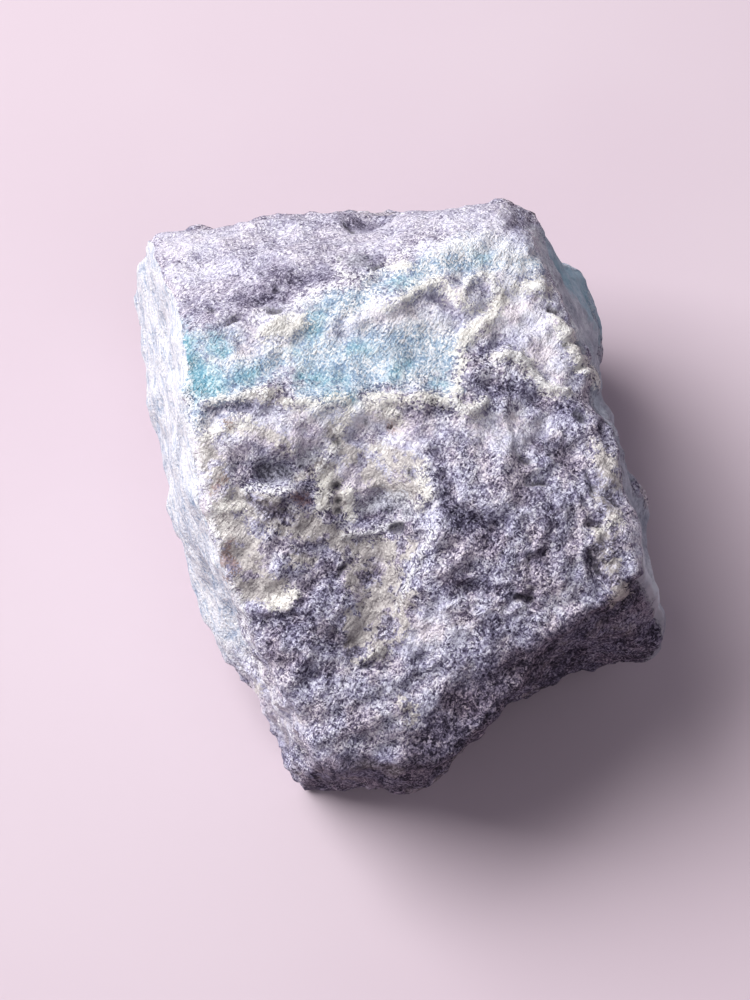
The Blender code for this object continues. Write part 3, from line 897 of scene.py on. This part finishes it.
# %% The graph of a material
class Graph:
    """A material's node graph."""

    def __init__(self, name):
        self.material = bpy.data.materials.new(name)
        self.material.use_nodes = True
        self.tree = self.material.node_tree
        self.shader = self.tree.nodes["Principled BSDF"]

    def node(self, kind, values=None, output=0, **settings):
        """Adds a node, sets its settings and then its sockets' values or links, and gives one output."""
        node = self.tree.nodes.new(kind)
        stops = settings.pop("stops", None)
        for name, value in settings.items():
            setattr(node, name, value)
        if stops:
            elements = node.color_ramp.elements
            elements[0].position, elements[0].color = stops[0]
            elements[1].position, elements[1].color = stops[-1]
            for position, colour in stops[1:-1]:
                elements.new(position).color = colour
        for socket, value in (values or {}).items():
            self.feed(node.inputs[socket], value)
        return Flow(self, node.outputs[output])

    def feed(self, socket, value):
        if isinstance(value, Flow):
            self.tree.links.new(value.socket, socket)
        else:
            socket.default_value = value

    def field(self, name):
        return self.node("ShaderNodeAttribute", output="Fac", attribute_name=name)

    def blend(self, share, first, second, way="MIX"):
        """The first colour where the share is 0 and the second where it is 1."""
        values = {0: share, 6: first, 7: second}
        return self.node("ShaderNodeMix", values, output=2, data_type="RGBA", blend_type=way)

    def ramp(self, value, stops):
        """The colour that a scale of stops, from dark to light, gives to a value."""
        return self.node("ShaderNodeValToRGB", {"Fac": value}, stops=stops)

    def step(self, value, low, high, start=0.0, end=1.0):
        """Eases from the start to the end while the value goes from low to high."""
        values = {"Value": value, "From Min": low, "From Max": high, "To Min": start, "To Max": end}
        return self.node("ShaderNodeMapRange", values, interpolation_type="SMOOTHSTEP")


def srgb(red, green, blue):
    """A colour given as 0 to 255 on a screen, as the linear numbers that a shader wants."""
    share = np.array([red, green, blue]) / 255
    linear = np.where(share <= 0.04045, share / 12.92, ((share + 0.055) / 1.055) ** 2.4)
    return (*linear.round(4), 1.0)


print("middle grey is", srgb(128, 128, 128)[0], "of full light")

# %% [markdown]
# The rock is salt and pepper: pale laths and dark grains, each a few tenths of a millimetre, with a violet
# cast. Small cells with a random shade each give crisp crystals, two stretched noises give laths that lean
# either way, and two slower noises gather the dark grains into clumps and clouds. Their sum is one number,
# `grain`, from 0 for the darkest crystal to 1 for the whitest. `wander` frays the borders of the minerals,
# and `spots` are crisp blots of dark rock in the hollow's lining. Positions are in millimetres.

# %% Places and grains
rock = Graph("larimar_rock")
place_mm = rock.node(
    "ShaderNodeVectorMath",
    {0: rock.node("ShaderNodeTexCoord", output="Object"), "Scale": 1 / MM},
    operation="SCALE",
)


def drawn_out(turn, stretch):
    """Places squeezed along the way that +X points to after three turns in degrees, to draw patterns out."""
    values = {"Vector": place_mm, "Rotation": tuple(np.radians(turn)), "Scale": (stretch, 1.0, 1.0)}
    return rock.node("ShaderNodeMapping", values, vector_type="TEXTURE")


def noise(size, detail=2.0, rough=0.5, at=place_mm, kind="Fac"):
    """Smooth noise of 0 to 1 whose blots are about the size in millimetres."""
    values = {"Vector": at, "Scale": 1 / size, "Detail": detail, "Roughness": rough}
    return rock.node("ShaderNodeTexNoise", values, output=kind)


def cells(size, at):
    """A random shade of 0 to 1 for each cell of about the size in millimetres."""
    values = {"Vector": at, "Scale": 1 / size, "Randomness": 1.0}
    colour = rock.node("ShaderNodeTexVoronoi", values, output="Color")
    return rock.node("ShaderNodeSeparateColor", {"Color": colour}, output="Red")


bent = rock.node(
    "ShaderNodeVectorMath", {0: place_mm, 1: noise(0.5, 1.0, kind="Color")}, operation="ADD"
)
crystal = cells(0.21, bent)
lath = noise(0.24, 2.0, 0.65, at=drawn_out((0, -20, 55), 2.3))
lath_across = noise(0.22, 2.0, 0.65, at=drawn_out((0, 25, -35), 2.0))
clump = noise(0.85, 2.0, 0.55)
cloud = noise(2.8, 3.0, 0.6)
wander = noise(1.2, 4.0, 0.65)
spots = rock.step(noise(1.9, 4.0, 0.62) + (crystal - 0.5) * 0.03, 0.545, 0.575)
grain = (
    0.5
    + (crystal - 0.5) * 0.74
    + (lath - 0.5) * 1.25
    + (lath_across - 0.5) * 1.05
    + (clump - 0.5) * 0.60
    + (cloud - 0.5) * 0.60
)
print("crystals, laths and clouds are ready")

# %% [markdown]
# Each field is turned into a share of its mineral. The edge is frayed by adding noise to the field before it
# is cut. Part of that noise is the crystals' own shade, so single crystals belong to one mineral or the
# other, as they do in the stone. `EDGES` gives four numbers for each: the depths where the mineral starts and
# where it is full, and how far noise and crystals fray it, all in millimetres.

# %% Shares of the minerals
EDGES = {
    "blue": (-1.2, 0.8, 3.4, 1.0),
    "teal": (-1.1, 1.1, 2.4, 0.8),
    "white": (-0.5, 0.6, 2.4, 1.4),
    "cream": (-0.35, 0.3, 1.5, 1.0),
    "thread": (-0.15, 0.35, 1.0, 0.9),
    "green": (-0.3, 0.4, 3.4, 1.0),
    "dish": (-0.4, 0.5, 1.4, 0.9),
    "dusk": (-0.4, 0.5, 2.8, 0.8),
    "pale": (-1.8, 1.8, 3.0, 0.4),
    "shade": (-1.0, 1.0, 2.4, 0.4),
    "pit": (-0.10, 0.32, 0.6, 0.5),
    "rust": (-0.3, 0.4, 1.2, 0.9),
    "fibre": (-0.6, 0.5, 1.5, 0.5),
    "coat": (-0.4, 0.4, 1.4, 0.5),
}


def frayed_share(name, low, high, fray, by_crystal):
    """0 outside a mineral and 1 inside it, with an edge frayed by noise and by whole crystals."""
    frayed = rock.field(name) + (wander - 0.5) * fray + (crystal - 0.5) * by_crystal
    return rock.step(frayed, low, high)


share = {name: frayed_share(name, *edge) for name, edge in EDGES.items()}
print(len(share), "minerals and shades have their shares")

# %% [markdown]
# Each mineral has its own scale of colours for the same grain, from its darkest crystal to its whitest. They
# are laid one over another: rock first, then the greenish lining of the hollow, the bluish dish, the blue
# vein, the skins, the cream ribs, and last the pits, the rust and painted shade: brown over the scooped front
# and grey-violet deep in the relief. `COVER` says how fully each layer hides what is under it.

# %% Scales of colour
ROCK_SCALE = (
    (0.02, srgb(44, 38, 60)),
    (0.28, srgb(96, 90, 115)),
    (0.50, srgb(147, 142, 165)),
    (0.70, srgb(190, 187, 207)),
    (0.98, srgb(240, 239, 249)),
)
GREEN_SCALE = ((0.0, srgb(121, 114, 118)), (0.5, srgb(195, 189, 187)), (1.0, srgb(240, 237, 233)))
DISH_SCALE = ((0.0, srgb(88, 89, 100)), (0.5, srgb(176, 178, 192)), (1.0, srgb(224, 228, 238)))
BLUE_SCALE = (
    (0.05, srgb(134, 160, 192)),
    (0.38, srgb(177, 201, 220)),
    (0.60, srgb(214, 225, 237)),
    (0.88, srgb(246, 248, 252)),
)
TEAL_SCALE = ((0.1, srgb(86, 150, 176)), (0.5, srgb(128, 186, 204)), (0.95, srgb(206, 230, 238)))
CREAM_SCALE = ((0.0, srgb(176, 172, 168)), (0.40, srgb(229, 226, 219)), (0.8, srgb(251, 250, 247)))
FIBRE_SCALE = ((0.25, srgb(152, 169, 196)), (0.45, srgb(206, 213, 227)), (0.62, srgb(236, 237, 243)))
COAT_SCALE = ((0.1, srgb(122, 130, 148)), (0.5, srgb(160, 168, 184)), (0.9, srgb(206, 213, 223)))
POOL_SCALE = ((0.2, srgb(104, 148, 170)), (0.8, srgb(150, 190, 206)))
CRYSTAL_WHITE = srgb(247, 248, 252)
# The dark of the pits: partly dark grains, partly painted shade in the holes.
PIT_DARK_AND_SHADE = srgb(62, 60, 70)
RUST = srgb(128, 84, 76)
# The brown of the painted shade over the scooped front.
PAINTED_SHADE_BROWN = srgb(160, 138, 146)
CAST_SCALE = ((0.40, srgb(236, 240, 255)), (0.5, srgb(250, 250, 253)), (0.60, srgb(255, 243, 242)))
# The grey-violet of the painted shade in the recesses of the relief.
RECESS_SHADE_COLOUR = srgb(126, 118, 132)
COVER = {
    "cast": 0.6,
    "stain": 0.4,
    "lining": 0.92,
    "dish": 0.7,
    "teal": 0.9,
    "haze": 0.6,
    "blue": 0.9,
    "fibre": 0.95,
    "pool": 0.9,
    "cream": 0.88,
    "thread": 0.7,
    "rust": 0.7,
    "pit": 0.72,
    # The last two layers are painted shade: over the scooped front, and in the recesses of the relief.
    "shade": 0.6,
    "recess_shade": 0.5,
}
print(len(COVER), "layers of colour")

# %% [markdown]
# The rock's tone is its grain, with less contrast where it is pale or smooth. The marks shift it: up where
# the rock is pale or white, down where it is dusky or under the painted shade of the overhang, and `weather`
# varies it slowly on the sides. A cast that wanders over centimetres turns it to indigo or purple-brown, and
# the sides carry stains of the lining's colour. The lining itself is drawn out in striae and lets the dark
# spots through.

# %% Colour of the rock, the lining and the dish
# The last shift lowers the tone under the painted shade of the overhang.
TONE_SHIFTS = {"pale": 0.23, "dusk": -0.22, "white": 0.27, "shade": -0.26}

striae = noise(0.42, 3.0, 0.6, at=drawn_out((0, 0, 52), 3.5))
strand = noise(0.30, 3.0, 0.6, at=drawn_out((0, 0, 97), 7.0))
weather = (noise(8.0, 3.0, 0.55) - 0.5) * rock.field("side")
softened = 0.5 + (grain - 0.5) * (1 - share["pale"] * 0.45) * (1 - rock.field("smooth") * 0.25)
shifted = sum(share[name] * shift for name, shift in TONE_SHIFTS.items())
tone = softened + 0.11 + shifted - share["green"] * spots * 0.24 + weather * 0.6
cast = rock.ramp(noise(3.2, 3.0, 0.6), CAST_SCALE)
cast_cover = COVER["cast"] - rock.field("smooth") * 0.4
colour = rock.blend(cast_cover, rock.ramp(tone + 0.01, ROCK_SCALE), cast, way="MULTIPLY")
stained = rock.step(noise(4.5, 4.0, 0.6), 0.54, 0.64) * rock.field("side")
colour = rock.blend(stained * COVER["stain"], colour, rock.ramp(grain, GREEN_SCALE))
lining = 0.52 + (striae - 0.5) * 0.9 + (grain - 0.5) * 0.5 + share["white"] * 0.2
lined = share["green"] * (1 - share["dusk"] * 0.9) * (1 - spots * 0.9)
colour = rock.blend(lined * COVER["lining"], colour, rock.ramp(lining, GREEN_SCALE))
dish = 0.5 + (grain - 0.5) * 0.8 - share["dusk"] * 0.4
colour = rock.blend(share["dish"] * COVER["dish"], colour, rock.ramp(dish, DISH_SCALE))
print("the rock is coloured")

# %% [markdown]
# The vein has blue crystals with whiter ones among them and deeper teal in places. A thin haze of it lies
# over the pale rock around. On the sides come the white fibres, and the coat with its blue pool.

# %% Colour of the vein and the skins
vein = rock.ramp(grain - 0.07 + share["white"] * 0.34, BLUE_SCALE)
vein = rock.blend(share["teal"] * COVER["teal"], vein, rock.ramp(grain, TEAL_SCALE))
haze = rock.step(rock.field("blue") + (wander - 0.5) * 3.0, -2.8, 0.4) * share["pale"]
colour = rock.blend(haze * COVER["haze"], colour, vein)
colour = rock.blend(share["blue"] * COVER["blue"], colour, vein)
fibre = 0.52 + (strand - 0.5) * 1.1 + (cloud - 0.5) * 0.6 + (grain - 0.5) * 0.22
colour = rock.blend(share["fibre"] * COVER["fibre"], colour, rock.ramp(fibre, FIBRE_SCALE))
coat = rock.ramp(0.5 + (cloud - 0.5) * 1.2 + (grain - 0.5) * 0.25 + share["pale"] * 0.45, COAT_SCALE)
coat = rock.blend(share["blue"] * COVER["pool"], coat, rock.ramp(wander, POOL_SCALE))
colour = rock.blend(share["coat"], colour, coat)
print("the vein and the skins are coloured")

# %% [markdown]
# Over all that lie the cream ribs and white threads, then rust and pits. Then painted shade darkens what is
# there: brown over the scooped front, and in the recesses wherever `relief` is below zero.

# %% Colour of the ribs, the pits and the painted shade
rib = 0.52 + (grain - 0.5) * 0.6 + (wander - 0.5) * 0.3 + share["white"] * 0.2
colour = rock.blend(share["cream"] * COVER["cream"], colour, rock.ramp(rib, CREAM_SCALE))
# The pits' dark is partly painted shade in the holes and cracks.
for name, paint in (("thread", CRYSTAL_WHITE), ("rust", RUST), ("pit", PIT_DARK_AND_SHADE)):
    colour = rock.blend(share[name] * COVER[name], colour, paint)
# Painted shade: the scooped front and the shade marks are multiplied towards brown.
colour = rock.blend(share["shade"] * COVER["shade"], colour, PAINTED_SHADE_BROWN, way="MULTIPLY")
# Painted shade in the recesses: darker wherever `relief` is below zero.
sunk = rock.step(rock.field("relief") + (wander - 0.5) * 0.4, -0.6, -0.1, start=COVER["recess_shade"], end=0.0)
colour = rock.blend(sunk, colour, RECESS_SHADE_COLOUR, way="MULTIPLY")
print("the colours are laid")

# %% [markdown]
# Crystals also stand up and catch the light. Height for the bump comes from the crystals and laths, less on
# the smooth coat, from the strands of the fibres and from the striae of the lining. Pale crystals are
# glossier than the weathered rock, which scatters light evenly.

# %% Grain in the surface
BUMP_MM = 0.25

height_mm = crystal * 0.45 + lath * 1.1 + lath_across * 0.9 + wander * 0.7
height_mm = height_mm * (1 - share["coat"] * 0.8 - share["green"] * 0.3) + strand * (share["fibre"] * 0.8)
height_mm = height_mm + striae * (share["green"] * 1.3)
bump_values = {"Strength": 1.0, "Distance": BUMP_MM * MM, "Height": height_mm}
bump = rock.node("ShaderNodeBump", bump_values, output="Normal")
roughness = 0.92 - tone * 0.22 - share["blue"] * 0.08 - share["coat"] * 0.2
rock.feed(rock.shader.inputs["Normal"], bump)
rock.feed(rock.shader.inputs["Base Color"], colour)
rock.feed(rock.shader.inputs["Roughness"], roughness.clamped())
rock.shader.inputs["Specular IOR Level"].default_value = 0.4
mesh.materials.append(rock.material)
print("the material has", len(rock.tree.nodes), "nodes")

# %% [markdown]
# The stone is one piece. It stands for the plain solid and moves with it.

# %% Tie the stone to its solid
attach(stone, "root")
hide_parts("larimar_chunk")
print("larimar_stone stands for larimar_chunk")

# %% [markdown]
# The studio has a pale floor, a wide sheet at the height of the stone's bed, so that the stone rests on it.

# %% Floor
FLOOR_HALF = 2.0
FLOOR_COLOUR = srgb(200, 184, 196)
look_at = (LOOK_AT - (*MIDDLE, 0)) * MM

floor_mesh = bpy.data.meshes.new("floor")
corner_u, corner_v = np.meshgrid([-FLOOR_HALF, FLOOR_HALF], [-FLOOR_HALF, FLOOR_HALF])
floor_corners = np.stack([corner_u.ravel(), corner_v.ravel(), np.zeros(4)], axis=1)
floor_mesh.from_pydata(floor_corners, [], [(0, 1, 3, 2)])
floor = bpy.data.objects.new("floor", floor_mesh)
bpy.context.scene.collection.objects.link(floor)
cloth = Graph("pale_floor")
speckle = cloth.node("ShaderNodeTexNoise", {"Scale": 60.0, "Detail": 3.0}, output="Fac")
tint = cloth.blend(cloth.step(speckle, 0.3, 0.7) * 0.06, FLOOR_COLOUR, srgb(255, 255, 255))
cloth.feed(cloth.shader.inputs["Base Color"], tint)
cloth.shader.inputs["Roughness"].default_value = 0.9
floor_mesh.materials.append(cloth.material)
print("the floor is", 2 * FLOOR_HALF, "m wide")

# %% [markdown]
# A large soft box at the upper left is the window, which models every lump with soft shadows. A weak one
# fills them from the front, and a faint even glow comes from all round.

# %% Lights
GLOW_COLOUR = srgb(238, 230, 240)
GLOW_STRENGTH = 0.22


def looking_from(spot):
    """The place of a light or camera at a spot that looks at the stone, with +Z up in its picture."""
    spot = mathutils.Vector(spot)
    turn = (mathutils.Vector(look_at) - spot).to_track_quat("-Z", "Y")
    return mathutils.Matrix.Translation(spot) @ turn.to_matrix().to_4x4()


def soft_light(name, compass, tilt, distance, size, watts, colour):
    """A square soft box that hangs at a compass angle and tilt from the stone and looks at it."""
    lamp = bpy.data.lights.new(name, "AREA")
    lamp.energy, lamp.size, lamp.color = watts, size, colour[:3]
    holder = bpy.data.objects.new(name, lamp)
    bpy.context.scene.collection.objects.link(holder)
    holder.matrix_world = looking_from(look_at + facing(compass, tilt) * distance)


window = {"compass": 152, "tilt": 46, "distance": 0.8, "size": 0.62, "watts": 11.8}
fill = {"compass": -60, "tilt": 60, "distance": 0.9, "size": 0.7, "watts": 0.7}
soft_light("window", **window, colour=srgb(255, 253, 251))
soft_light("fill", **fill, colour=srgb(250, 246, 255))
world = bpy.data.worlds.new("studio")
world.use_nodes = True
glow = world.node_tree.nodes["Background"].inputs
glow["Color"].default_value = GLOW_COLOUR
glow["Strength"].default_value = GLOW_STRENGTH
bpy.context.scene.world = world
print("two soft lights and an even glow")

# %% [markdown]
# The camera stands where the map was seen from. Its lens follows from the scale of the map: the picture's
# long side has 1000 pixels, and 9.75 of them show a millimetre that is 300 mm away.

# %% Camera
SENSOR_MM = 36.0

lens = bpy.data.cameras.new("camera")
lens.sensor_width = SENSOR_MM
lens.lens = PIXELS_PER_MM * VIEW_DISTANCE / PICTURE[1] * SENSOR_MM
lens.clip_start = 0.01
camera = bpy.data.objects.new("camera", lens)
bpy.context.scene.collection.objects.link(camera)
camera.matrix_world = looking_from((eye - (*MIDDLE, 0)) * MM)
bpy.context.scene.camera = camera
bpy.context.scene.view_settings.view_transform = "Standard"
print("lens", round(lens.lens, 1), "mm")
